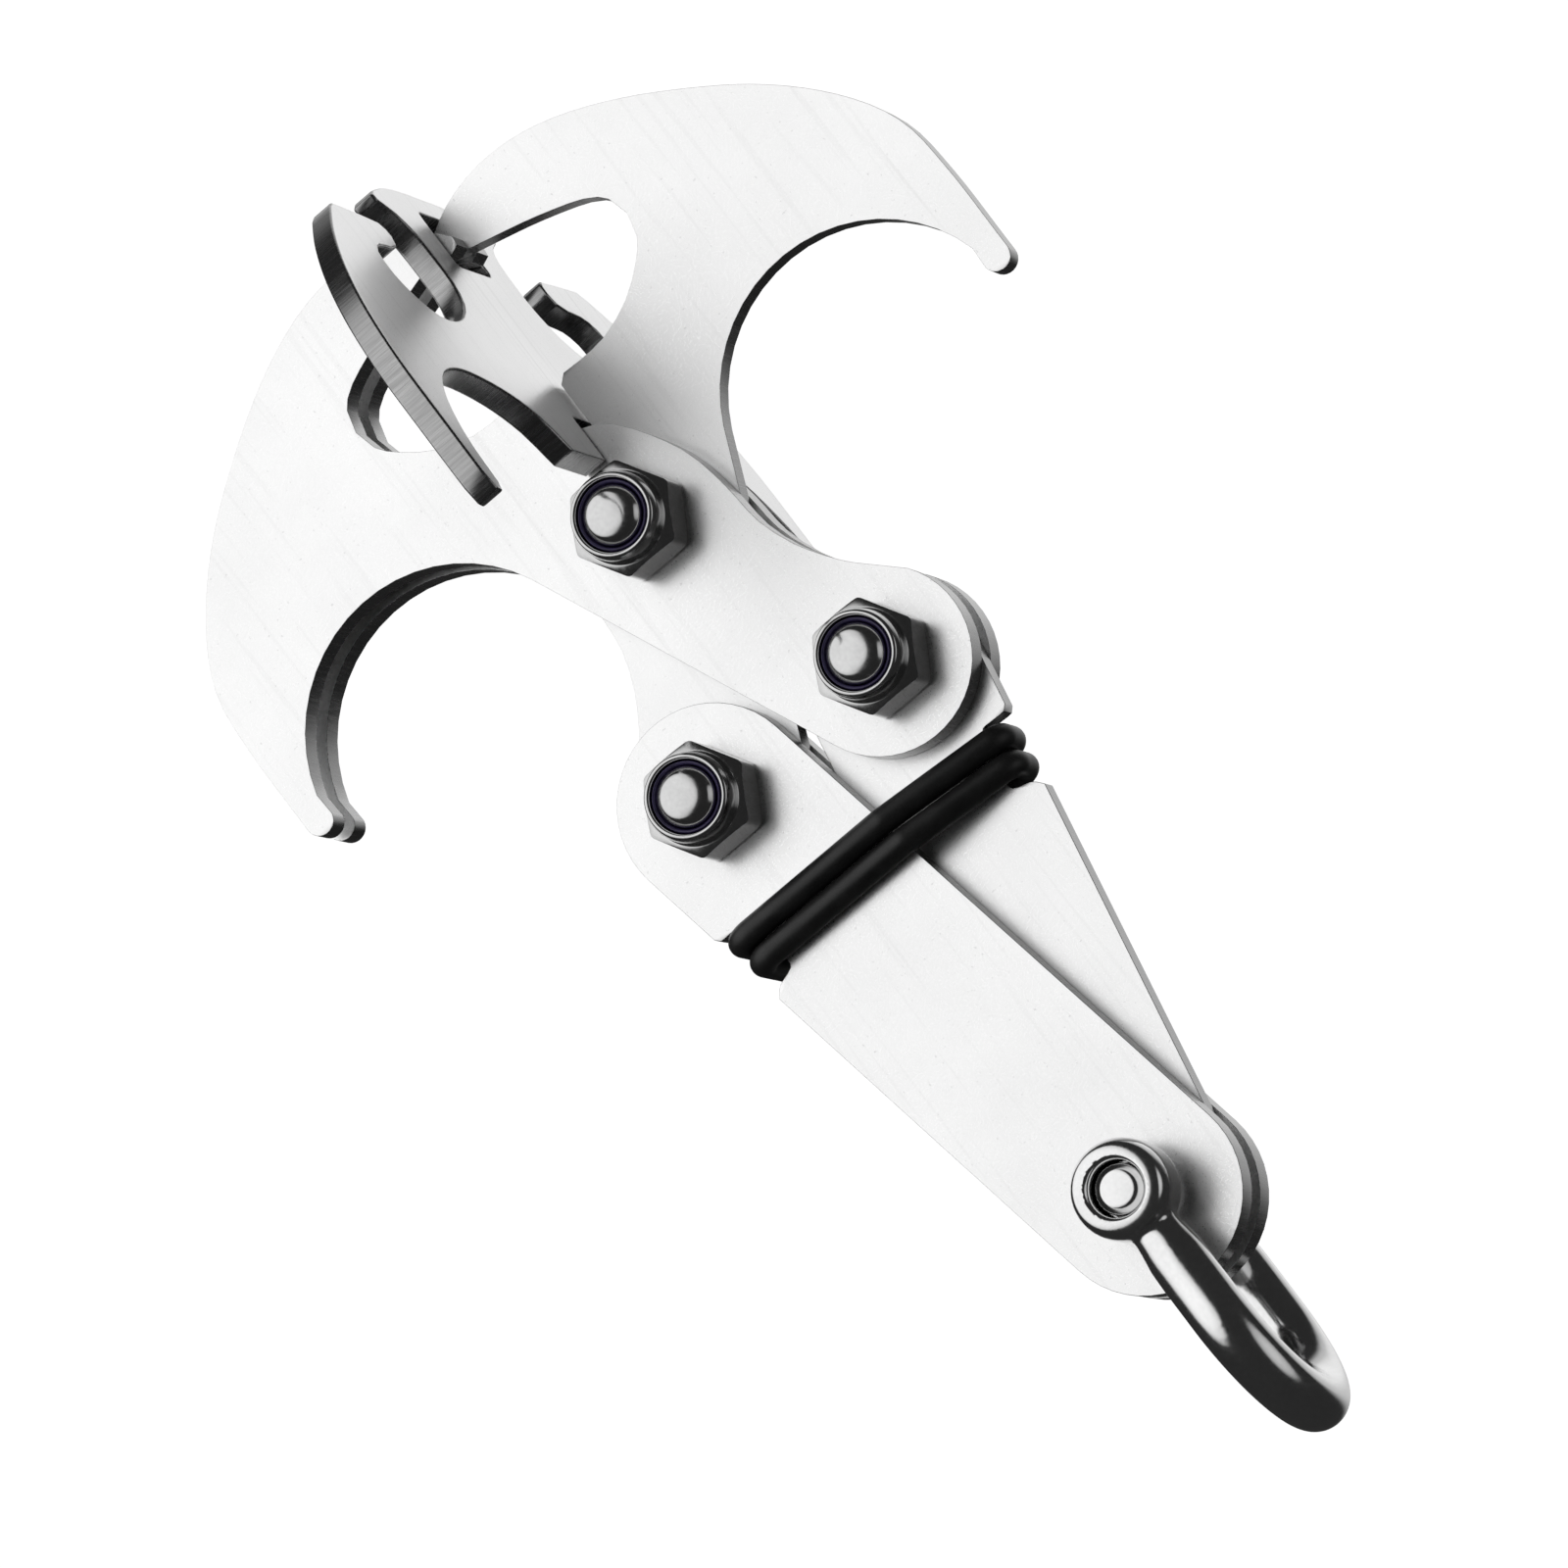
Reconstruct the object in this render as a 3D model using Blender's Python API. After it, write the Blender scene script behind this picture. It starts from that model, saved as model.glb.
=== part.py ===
"""Folding grapnel anchor: four flat steel hooks, a kite linkage and a shackle.

Metres, +Z up. The anchor hangs from its shackle. The origin is the inside of
the shackle's crown, +Z runs up the tool's axis, and the nuts face -Y.
Two claws cross on the claw pivot, each claw's tail is bolted to an arm, and
both arms hang on the shackle pin. A cross claw stands between the jaws.
"""

import math

import bmesh
import bpy
from mathutils import Matrix, Vector

MM = 0.001

# Plates and the gaps between them
PLATE = 3.0 * MM
MIDDLE_PLATE = 2.5 * MM
PLATE_GAP = 0.15 * MM
CROSS_PLATE = 2.5 * MM
STACK_HALF = MIDDLE_PLATE / 2 + PLATE_GAP + PLATE

# Pivots of the kite linkage, below the inside of the shackle's crown
CROWN_TO_PIN = 22.0 * MM
PIN_TO_CLAW_PIVOT = 82.6 * MM
PIN_TO_LINK = 56.5 * MM
LINK_OUT = 10.75 * MM
PIN_Z = -CROWN_TO_PIN
CLAW_Z = PIN_Z - PIN_TO_CLAW_PIVOT
LINK_Z = PIN_Z - PIN_TO_LINK
LINK_UP = LINK_Z - CLAW_Z

# Holes and the bolts that run in them
BOLT_R = 3.0 * MM
HOLE_R = 3.3 * MM
LOOSE_HOLE_R = 3.8 * MM
NUT_BORE_R = 3.2 * MM
NUT_ACROSS = 10.0 * MM
NUT_HEX_HEIGHT = 5.0 * MM
NUT_HEIGHT = 7.8 * MM
COLLAR_R = 4.4 * MM
COLLAR_WALL = 0.5 * MM
NYLON_HEIGHT = 2.0 * MM
HEAD_HEIGHT = 4.0 * MM
BOLT_PROUD = 0.7 * MM
SEAT_GAP = 0.2 * MM

# Arms: the single inner one is narrower on its outer side
ARM_SIDE = 9.7 * MM
INNER_ARM_OUTER_SIDE = 8.3 * MM
GROOVE_DEPTH = 3.35 * MM

# Claws
TAIL_R = 9.2 * MM
THROAT_R = 15.9 * MM
THROAT_CENTRE = (26.2 * MM, 3.9 * MM)
JAW_EDGE = 1.5 * MM

# Cross claw: its saddle sits over the claw pivot, its feet stop short of the nut
SADDLE_LOW = -12.3 * MM
FOOT_LOW = -6.8 * MM

# Rubber rings
RING_SECTION_R = 1.4 * MM
RING_GAP = 0.04 * MM
RING_SLACK = 0.3 * MM
RING_MIDDLE = 40.25 * MM

# Shackle
SHACKLE_ROD_R = 2.9 * MM
SHACKLE_NECK_R = 2.5 * MM
SHACKLE_HALF_MOUTH = 7.4 * MM
EAR_R = 4.9 * MM
EAR_DEPTH = 6.6 * MM
PIN_R = 2.5 * MM
HEAD_R = 4.3 * MM
HEAD_THICK = 2.0 * MM
SLOT_WIDTH = 1.2 * MM
SLOT_DEPTH = 1.0 * MM

ARC_STEP = math.radians(7.5)

STEEL = ("plate_steel", (0.74, 0.74, 0.75), 0.28, 1.0)
POLISHED = ("polished_steel", (0.62, 0.62, 0.64), 0.14, 1.0)
NYLON = ("nylon", (0.045, 0.035, 0.085), 0.4, 0.0)
RUBBER = ("rubber", (0.012, 0.012, 0.013), 0.55, 0.0)


def clear_scene():
    for obj in list(bpy.data.objects):
        bpy.data.objects.remove(obj, do_unlink=True)


def material(finish):
    name, colour, roughness, metallic = finish
    found = bpy.data.materials.get(name)
    if found:
        return found
    made = bpy.data.materials.new(name)
    made.use_nodes = True
    shader = made.node_tree.nodes["Principled BSDF"]
    shader.inputs["Base Color"].default_value = (*colour, 1.0)
    shader.inputs["Roughness"].default_value = roughness
    shader.inputs["Metallic"].default_value = metallic
    return made


def finish_object(name, bm, finish, origin=(0.0, 0.0, 0.0)):
    """Make the node, with its origin on its joint's axis."""
    bmesh.ops.remove_doubles(bm, verts=bm.verts, dist=1e-7)
    bmesh.ops.recalc_face_normals(bm, faces=bm.faces)
    bmesh.ops.translate(bm, verts=bm.verts, vec=-Vector(origin))
    mesh = bpy.data.meshes.new(name)
    bm.to_mesh(mesh)
    bm.free()
    mesh.materials.append(material(finish))
    obj = bpy.data.objects.new(name, mesh)
    obj.location = origin
    bpy.context.scene.collection.objects.link(obj)
    mesh.shade_smooth()
    mesh.set_sharp_from_angle(angle=math.radians(30))
    return obj


# Flat outlines: lists of (across, along) points

def arc(centre, radius, start, end, step=ARC_STEP):
    """Points on an arc between two angles in degrees, both ends included."""
    first, last = math.radians(start), math.radians(end)
    count = max(2, math.ceil(abs(last - first) / step))
    angles = [first + (last - first) * i / count for i in range(count + 1)]
    return [(centre[0] + radius * math.cos(t), centre[1] + radius * math.sin(t)) for t in angles]


def circle(centre, radius, count=32):
    turn = 2 * math.pi / count
    return [(centre[0] + radius * math.cos(i * turn), centre[1] + radius * math.sin(i * turn))
            for i in range(count)]


def smooth(points, step=1.7 * MM):
    """A Catmull-Rom curve through points given in millimetres."""
    knots = [Vector(p) * MM for p in points]
    ends = [2 * knots[0] - knots[1]] + knots + [2 * knots[-1] - knots[-2]]
    line = []
    for a, b, c, d in zip(ends, ends[1:], ends[2:], ends[3:]):
        count = max(1, round((c - b).length / step))
        for i in range(count):
            t = i / count
            spot = 0.5 * (2 * b + (c - a) * t + (2 * a - 5 * b + 4 * c - d) * t ** 2
                          + (3 * b - a - 3 * c + d) * t ** 3)
            line.append(tuple(spot))
    return line + [tuple(knots[-1])]


def claw_outline():
    """One claw, seen from its pivot: the hook lies at +across, the shackle at +along."""
    tip = arc((42.9 * MM, 1.9 * MM), 1.5 * MM, 170, 0, math.radians(15))
    back = smooth([(44.4, 0.8), (44.4, -8.0), (43.6, -14.8), (40.2, -21.0), (34.4, -27.2),
                   (26.6, -32.9), (20.3, -36.45), (15.0, -38.5), (10.3, -39.3), (6.3, -39.1),
                   (3.0, -38.2), (0.5, -36.9), (-1.4, -35.6), (-2.4, -34.4), (-2.3, -33.4),
                   (-1.3, -33.0)])
    jaw = smooth([(0.3, -33.9), (4.9, -32.7), (9.5, -31.4), (14.3, -29.6), (16.3, -27.9),
                  (16.9, -25.6), (16.3, -23.2), (14.6, -21.2), (11.6, -19.0), (7.8, -17.6),
                  (4.5, -17.4), (2.4, -17.5)])
    pivot = smooth([(1.5, -11.45), (-0.6, -11.25), (-2.8, -10.3), (-5.2, -7.6), (-7.8, -2.8),
                    (-8.8, 1.2), (-9.2, 4.6), (-9.5, 7.6), (-10.9, 11.6), (-13.6, 15.9),
                    (-16.6, 19.1)])
    tail = arc((-LINK_OUT, LINK_UP), TAIL_R, 215, 22)
    throat = arc(THROAT_CENTRE, THROAT_R, 205, 345)
    return tip + back + jaw + [(JAW_EDGE, -16.7 * MM)] + pivot + tail + throat


def arm_outline(length, outer_side):
    """One arm from its link pivot to the shackle pin, its outer edge at +across."""
    end_r = (outer_side + ARM_SIDE) / 2
    middle = outer_side - end_r
    groove = smooth([(0, 8.9), (-0.4, 9.5), (-2.1, 9.8), (-3.0, 10.0), (-3.35, 10.8)], 0.5 * MM)
    shoulder = smooth([(-3.35, 15.8), (-3.0, 16.5), (-1.1, 16.8), (0, 17.6)], 0.5 * MM)
    notch = [(outer_side + inset, along) for inset, along in groove + shoulder]
    return arc((middle, 0), end_r, -180, 0) + notch + arc((middle, length), end_r, 0, 180)


def cross_claw_outline():
    """The cross claw in its own plane: across is front to back, both halves alike."""
    half = smooth([(0, -41.0), (5.0, -41.0), (10.5, -40.6), (15.6, -39.4), (16.9, -38.7),
                   (16.6, -37.9), (13.6, -36.6), (11.9, -34.4), (11.5, -31.4), (11.7, -28.4),
                   (13.6, -25.4), (17.2, -23.2), (21.6, -21.9), (25.8, -21.9), (29.2, -23.6),
                   (31.0, -26.2), (30.6, -28.9), (28.2, -30.2), (24.8, -30.4), (22.4, -31.0),
                   (21.6, -32.2), (22.0, -33.5)])
    half += smooth([(23.0, -34.2), (34.2, -34.6), (35.8, -33.8), (41.6, -29.6), (46.8, -24.4),
                    (50.4, -18.6), (52.2, -12.4), (52.4, -6.0), (52.3, 1.6), (51.6, 3.2),
                    (50.4, 3.4), (49.6, 2.2), (49.2, -1.6), (47.6, -5.6), (44.4, -9.6),
                    (39.6, -12.6), (33.6, -13.9), (27.4, -13.6), (21.6, -12.4), (17.2, -10.4),
                    (14.9, -7.7)])
    half += [(14.2 * MM, FOOT_LOW)]
    saddle = STACK_HALF + 0.35 * MM
    half += [(saddle, FOOT_LOW), (saddle, SADDLE_LOW), (0.0, SADDLE_LOW)]
    mirrored = [(-across, along) for across, along in reversed(half[1:-1])]
    return half + mirrored


def jaw_window():
    """The window in the cross claw that both jaws' ends close through."""
    side = STACK_HALF + 0.45 * MM
    round_r = 0.8 * MM
    low, high = -38.4 * MM, -31.6 * MM
    corners = [(side, high, 0), (-side, high, 90), (-side, low, 180), (side, low, 270)]
    loop = []
    for across, along, start in corners:
        centre = (across - math.copysign(round_r, across),
                  along + (round_r if along == low else -round_r))
        loop += arc(centre, round_r, start, start + 90, math.radians(30))
    return loop


def plate_mesh(loops, thickness):
    """A flat plate across local Y, filled between its outline and its holes."""
    bm = bmesh.new()
    edges = []
    for loop in loops:
        ring = [bm.verts.new((x, -thickness / 2, z)) for x, z in loop]
        edges += [bm.edges.new((a, b)) for a, b in zip(ring, ring[1:] + ring[:1])]
    bmesh.ops.triangle_fill(bm, use_beauty=True, edges=edges)
    top = bmesh.ops.extrude_face_region(bm, geom=bm.faces[:])
    lifted = [item for item in top["geom"] if isinstance(item, bmesh.types.BMVert)]
    bmesh.ops.translate(bm, verts=lifted, vec=(0, thickness, 0))
    return bm


def flat_piece(name, loops, matrix, y, origin, thickness):
    bm = plate_mesh(loops, thickness)
    bmesh.ops.transform(bm, matrix=Matrix.Translation((0, y, 0)) @ matrix, verts=bm.verts)
    return finish_object(name, bm, STEEL, origin)


def make_claw(name, side, y, thickness, pivot_hole, origin):
    """side is +1 where the hook lies at +X, -1 where it lies at -X."""
    loops = [claw_outline(), circle((0, 0), pivot_hole), circle((-LINK_OUT, LINK_UP), HOLE_R)]
    matrix = Matrix.Translation((0, 0, CLAW_Z)) @ Matrix.Diagonal((side, 1, 1, 1))
    return flat_piece(name, loops, matrix, y, origin, thickness)


def make_arm(name, side, y, thickness, outer_side, origin):
    """side is +1 for the arm whose link pivot lies at +X."""
    length = math.hypot(LINK_OUT, PIN_TO_LINK)
    lean = math.atan2(LINK_OUT, PIN_TO_LINK)
    loops = [arm_outline(length, outer_side), circle((0, 0), HOLE_R), circle((0, length), HOLE_R)]
    matrix = (Matrix.Diagonal((side, 1, 1, 1)) @ Matrix.Translation((LINK_OUT, 0, LINK_Z))
              @ Matrix.Rotation(-lean, 4, "Y"))
    return flat_piece(name, loops, matrix, y, origin, thickness)


def make_cross_claw(origin):
    turn = Matrix.Translation((0, 0, CLAW_Z)) @ Matrix.Rotation(math.radians(90), 4, "Z")
    return flat_piece("cross_claw_plate", [cross_claw_outline(), jaw_window()], turn, 0.0, origin,
                      CROSS_PLATE)


# Turned pieces: profiles of (radius, height), closed into a ring or onto the axis

def turned(profile, sides=24):
    """Turn a closed (radius, height) profile round local Z; radius 0 closes it."""
    bm = bmesh.new()
    rings = []
    for radius, height in profile:
        if radius == 0:
            rings.append([bm.verts.new((0, 0, height))] * sides)
            continue
        turn = 2 * math.pi / sides
        rings.append([bm.verts.new((radius * math.cos(i * turn), radius * math.sin(i * turn),
                                    height)) for i in range(sides)])
    closed = profile[0][0] != 0
    pairs = list(zip(rings, rings[1:] + rings[:1])) if closed else list(zip(rings, rings[1:]))
    for low, high in pairs:
        for i in range(sides):
            j = (i + 1) % sides
            corners = dict.fromkeys((low[i], low[j], high[j], high[i]))
            if len(corners) > 2:
                bm.faces.new(list(corners))
    return bm


def hex_prism(across, low, high, bore):
    """A hexagon along local Z with its corners cut back, with an optional bore."""
    corner = across / math.sqrt(3)
    outline = [(corner * math.cos(math.radians(60 * i + 30)),
                corner * math.sin(math.radians(60 * i + 30))) for i in range(6)]
    loops = [outline] + ([circle((0, 0), bore, 24)] if bore else [])
    bm = plate_mesh(loops, high - low)
    turn = Matrix.Translation((0, 0, (low + high) / 2)) @ Matrix.Rotation(math.radians(90), 4, "X")
    bmesh.ops.transform(bm, matrix=turn, verts=bm.verts)
    return bm


def boolean(target, bm, operation):
    """Join or cut with a body in the target's own frame, and keep only the result."""
    bmesh.ops.recalc_face_normals(bm, faces=bm.faces)
    mesh = bpy.data.meshes.new("tool")
    bm.to_mesh(mesh)
    bm.free()
    tool = bpy.data.objects.new("tool", mesh)
    tool.location = target.location
    bpy.context.scene.collection.objects.link(tool)
    modifier = target.modifiers.new("shape", "BOOLEAN")
    modifier.operation = operation
    modifier.solver = "EXACT"
    modifier.object = tool
    graph = bpy.context.evaluated_depsgraph_get()
    result = bpy.data.meshes.new_from_object(target.evaluated_get(graph))
    target.modifiers.clear()
    target.data = result
    bpy.data.objects.remove(tool, do_unlink=True)


def along_y(x, y, z, direction=-1):
    """Stand a piece turned round local Z along Y; direction -1 points it at -Y."""
    turn = Matrix.Rotation(math.radians(90 if direction < 0 else -90), 4, "X")
    return Matrix.Translation((x, y, z)) @ turn


def make_bolt(name, x, z, origin):
    """A hexagon-head bolt: the head lies behind the stack, the end shows at the nut."""
    face = STACK_HALF + SEAT_GAP
    length = 2 * STACK_HALF + 2 * SEAT_GAP + NUT_HEIGHT + BOLT_PROUD
    matrix = along_y(x, face, z)
    head = hex_prism(NUT_ACROSS, -HEAD_HEIGHT, 0.0, None)
    bmesh.ops.transform(head, matrix=matrix, verts=head.verts)
    bolt = finish_object(name, head, POLISHED, origin)
    round_end = [(BOLT_R, length - 0.7 * MM), (2.5 * MM, length - 0.15 * MM), (1.3 * MM, length)]
    shank = turned([(0, -1.0 * MM), (BOLT_R, -1.0 * MM), *round_end, (0, length)])
    bmesh.ops.transform(shank, matrix=Matrix.Translation(-Vector(origin)) @ matrix,
                        verts=shank.verts)
    boolean(bolt, shank, "UNION")
    return bolt


def make_nut(name, x, z, origin):
    """A lock nut: a hexagon below and a thin collar above that holds the nylon."""
    matrix = along_y(x, -STACK_HALF - SEAT_GAP, z)
    hexagon = hex_prism(NUT_ACROSS, 0.0, NUT_HEX_HEIGHT, NUT_BORE_R)
    bmesh.ops.transform(hexagon, matrix=matrix, verts=hexagon.verts)
    nut = finish_object(name, hexagon, POLISHED, origin)
    inside = COLLAR_R - COLLAR_WALL
    floor = NUT_HEIGHT - NYLON_HEIGHT - 0.5 * MM
    collar = turned([(NUT_BORE_R, NUT_HEX_HEIGHT - 1.0 * MM), (COLLAR_R, NUT_HEX_HEIGHT - 1.0 * MM),
                     (COLLAR_R, NUT_HEIGHT - 0.8 * MM), (COLLAR_R - 0.3 * MM, NUT_HEIGHT - 0.2 * MM),
                     (inside, NUT_HEIGHT), (inside, floor), (NUT_BORE_R, floor)])
    bmesh.ops.transform(collar, matrix=Matrix.Translation(-Vector(origin)) @ matrix,
                        verts=collar.verts)
    boolean(nut, collar, "UNION")
    return nut


def make_nylon_ring(name, x, z, origin):
    inside = COLLAR_R - COLLAR_WALL - 0.15 * MM
    floor = NUT_HEIGHT - NYLON_HEIGHT - 0.3 * MM
    bm = turned([(NUT_BORE_R, floor), (inside, floor), (inside, NUT_HEIGHT - 0.3 * MM),
                 (NUT_BORE_R, NUT_HEIGHT - 0.3 * MM)])
    bmesh.ops.transform(bm, matrix=along_y(x, -STACK_HALF - SEAT_GAP, z), verts=bm.verts)
    return finish_object(name, bm, NYLON, origin)


def make_fastener(prefix, x, z):
    origin = (x, 0.0, z)
    make_bolt(prefix + "_bolt", x, z, origin)
    make_nut(prefix + "_lock_nut", x, z, origin)
    make_nylon_ring(prefix + "_nylon_ring", x, z, origin)


def tube(path, radii, sides=10, closed=False):
    """Sweep a round section along a path that stays in one plane, one radius per point."""
    bm = bmesh.new()
    count = len(path)
    first, second, last = Vector(path[0]), Vector(path[count // 3]), Vector(path[count // 2])
    normal = (second - first).cross(last - first).normalized()
    rings = []
    for i, (spot, radius) in enumerate(zip(path, radii)):
        before = Vector(path[i - 1] if i or closed else path[0])
        after = Vector(path[(i + 1) % count] if i < count - 1 or closed else path[-1])
        side = (after - before).normalized().cross(normal)
        turn = 2 * math.pi / sides
        rings.append([bm.verts.new(Vector(spot) + radius * (side * math.cos(k * turn)
                                                            + normal * math.sin(k * turn)))
                      for k in range(sides)])
    pairs = list(zip(rings, rings[1:])) + ([(rings[-1], rings[0])] if closed else [])
    for low, high in pairs:
        for k in range(sides):
            j = (k + 1) % sides
            bm.faces.new((low[k], low[j], high[j], high[k]))
    if not closed:
        bm.faces.new(rings[0])
        bm.faces.new(rings[-1])
    return bm


def make_shackle_bow():
    """A D shackle: two legs with narrow necks, a round crown and a domed ear on each leg."""
    leg_y = SHACKLE_HALF_MOUTH + SHACKLE_ROD_R
    crown_z = SHACKLE_ROD_R
    centre_z = crown_z - leg_y
    legs = [(0.0, leg_y, PIN_Z + rise * MM) for rise in (1.5, 4.5, 7.5)]
    radii = [SHACKLE_NECK_R, SHACKLE_NECK_R, SHACKLE_ROD_R]
    bend = [(0.0, y, z) for y, z in arc((0.0, centre_z), leg_y, 0, 180, math.radians(12))]
    path = legs + bend + [(0.0, -y, z) for _, y, z in reversed(legs)]
    radii += [SHACKLE_ROD_R] * len(bend) + radii[::-1]
    bow = finish_object("shackle_bow", tube(path, radii, 16), POLISHED)
    for direction in (-1, 1):
        dome = [(EAR_R, EAR_DEPTH - 1.9 * MM), (EAR_R - 0.35 * MM, EAR_DEPTH - 0.9 * MM),
                (EAR_R - 0.9 * MM, EAR_DEPTH - 0.25 * MM), (EAR_R - 1.4 * MM, EAR_DEPTH)]
        ear = turned([(0, 0), (EAR_R - 0.5 * MM, 0), (EAR_R, 0.6 * MM), *dome, (0, EAR_DEPTH)])
        place = along_y(0.0, direction * SHACKLE_HALF_MOUTH, PIN_Z, direction)
        bmesh.ops.transform(ear, matrix=place, verts=ear.verts)
        boolean(bow, ear, "UNION")
        reach = EAR_DEPTH + 2 * MM
        hole = turned([(0, -MM), (PIN_R + 0.3 * MM, -MM), (PIN_R + 0.3 * MM, reach), (0, reach)])
        bmesh.ops.transform(hole, matrix=place, verts=hole.verts)
        boolean(bow, hole, "DIFFERENCE")
    return bow


def make_shackle_pin():
    """A screw pin: its end shows in the front ear, a slotted head turns it from behind."""
    back = SHACKLE_HALF_MOUTH + EAR_DEPTH + SEAT_GAP
    front = SHACKLE_HALF_MOUTH + EAR_DEPTH - 1.0 * MM
    length = back + front
    edge = 0.4 * MM
    body = turned([(0, -HEAD_THICK), (HEAD_R - edge, -HEAD_THICK), (HEAD_R, -HEAD_THICK + edge),
                   (HEAD_R, -edge), (HEAD_R - edge, 0), (PIN_R, 0), (PIN_R, length - 0.5 * MM),
                   (PIN_R - 0.5 * MM, length), (0, length)])
    matrix = along_y(0.0, back, PIN_Z)
    bmesh.ops.transform(body, matrix=matrix, verts=body.verts)
    pin = finish_object("shackle_pin", body, POLISHED, (0.0, 0.0, PIN_Z))
    slot = bmesh.new()
    bmesh.ops.create_cube(slot, size=1.0)
    bmesh.ops.scale(slot, vec=(SLOT_WIDTH, 2 * SLOT_DEPTH, 3 * HEAD_R), verts=slot.verts)
    bmesh.ops.translate(slot, vec=(0, back + HEAD_THICK, 0), verts=slot.verts)
    boolean(pin, slot, "DIFFERENCE")
    return pin


def ring_path(along):
    """A taut ring round the arms: both outer-arm plates, then the inner arm's edge."""
    reach = RING_SECTION_R + RING_SLACK
    lean = math.atan2(LINK_OUT, PIN_TO_LINK)
    middle = LINK_OUT - (along - LINK_UP) * math.tan(lean)
    outer_floor = middle + (ARM_SIDE - GROOVE_DEPTH) / math.cos(lean)
    inner_floor = middle + (INNER_ARM_OUTER_SIDE - GROOVE_DEPTH) / math.cos(lean)
    overlap_end = ARM_SIDE / math.cos(lean) - middle
    slim = MIDDLE_PLATE / 2
    slope = math.degrees(math.atan2(STACK_HALF - slim, inner_floor - overlap_end))
    corners = [((outer_floor, STACK_HALF), 0, 90), ((-overlap_end, STACK_HALF), 90, 90 + slope),
               ((-inner_floor, slim), 90 + slope, 180)]
    upper = []
    for centre, start, end in corners:
        upper += arc(centre, reach, start, end, math.radians(24))
    lower = [(x, -y) for x, y in reversed(upper)]
    return [(x, y, CLAW_Z + along) for x, y in upper + lower]


def make_rubber_ring(name, along):
    path = ring_path(along)
    bm = tube(path, [RING_SECTION_R] * len(path), closed=True)
    return finish_object(name, bm, RUBBER, (0.0, 0.0, CLAW_Z + along))


def main():
    clear_scene()
    level = STACK_HALF - PLATE / 2
    claw_pivot = (0.0, 0.0, CLAW_Z)
    outer_link = (LINK_OUT, 0.0, LINK_Z)
    inner_link = (-LINK_OUT, 0.0, LINK_Z)
    shackle_pin = (0.0, 0.0, PIN_Z)
    for place, y in (("front", -level), ("rear", level)):
        make_claw("outer_claw_" + place + "_plate", 1, y, PLATE, HOLE_R, inner_link)
        make_arm("outer_arm_" + place + "_plate", 1, y, PLATE, ARM_SIDE, shackle_pin)
    make_claw("inner_claw_plate", -1, 0.0, MIDDLE_PLATE, LOOSE_HOLE_R, outer_link)
    make_arm("inner_arm_plate", -1, 0.0, MIDDLE_PLATE, INNER_ARM_OUTER_SIDE, shackle_pin)
    make_cross_claw(claw_pivot)
    make_fastener("claw_pivot", 0.0, CLAW_Z)
    make_fastener("outer_arm_link", LINK_OUT, LINK_Z)
    make_fastener("inner_arm_link", -LINK_OUT, LINK_Z)
    make_shackle_bow()
    make_shackle_pin()
    pitch = RING_SECTION_R + RING_GAP / 2
    make_rubber_ring("lower_rubber_ring", RING_MIDDLE - pitch)
    make_rubber_ring("upper_rubber_ring", RING_MIDDLE + pitch)


main()
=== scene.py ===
"""Looks of the folding grapnel anchor: steel finishes, turned fasteners, shackle, rubber rings."""

import math
from itertools import chain

import bmesh
import bpy
from mathutils import Matrix, Vector


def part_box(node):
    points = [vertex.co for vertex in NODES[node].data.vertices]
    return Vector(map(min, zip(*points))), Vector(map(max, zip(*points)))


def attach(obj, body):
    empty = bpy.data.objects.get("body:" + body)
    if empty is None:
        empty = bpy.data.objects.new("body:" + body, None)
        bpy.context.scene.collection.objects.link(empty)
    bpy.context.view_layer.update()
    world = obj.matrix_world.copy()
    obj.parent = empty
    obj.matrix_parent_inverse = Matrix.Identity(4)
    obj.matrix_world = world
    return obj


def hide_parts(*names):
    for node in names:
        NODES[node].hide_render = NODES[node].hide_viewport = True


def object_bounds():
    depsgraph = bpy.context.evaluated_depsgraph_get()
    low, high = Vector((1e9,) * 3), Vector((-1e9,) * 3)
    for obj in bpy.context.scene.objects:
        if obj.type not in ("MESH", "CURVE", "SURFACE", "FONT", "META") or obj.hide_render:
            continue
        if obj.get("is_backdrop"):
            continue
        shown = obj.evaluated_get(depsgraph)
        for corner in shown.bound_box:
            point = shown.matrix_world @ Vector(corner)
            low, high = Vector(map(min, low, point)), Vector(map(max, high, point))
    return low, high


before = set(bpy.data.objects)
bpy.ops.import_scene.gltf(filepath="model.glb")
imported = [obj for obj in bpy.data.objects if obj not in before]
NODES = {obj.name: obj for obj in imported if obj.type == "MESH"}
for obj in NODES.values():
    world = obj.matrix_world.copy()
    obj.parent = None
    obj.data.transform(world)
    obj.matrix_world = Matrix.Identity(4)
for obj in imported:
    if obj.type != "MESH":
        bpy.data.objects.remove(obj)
low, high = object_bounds()

MM = 0.001


def centre_of(node):
    lowest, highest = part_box(node)
    return (lowest + highest) / 2


# Places and sizes read from the frame
PLATES = [name for name in NODES if name.endswith("_plate")]
PIN_Z = centre_of("shackle_pin").z
FASTENERS = {
    "claw_pivot": "outer_claw",
    "outer_arm_link": "outer_arm",
    "inner_arm_link": "inner_arm",
}
MIDDLE_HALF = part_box("inner_arm_plate")[1].y

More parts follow.
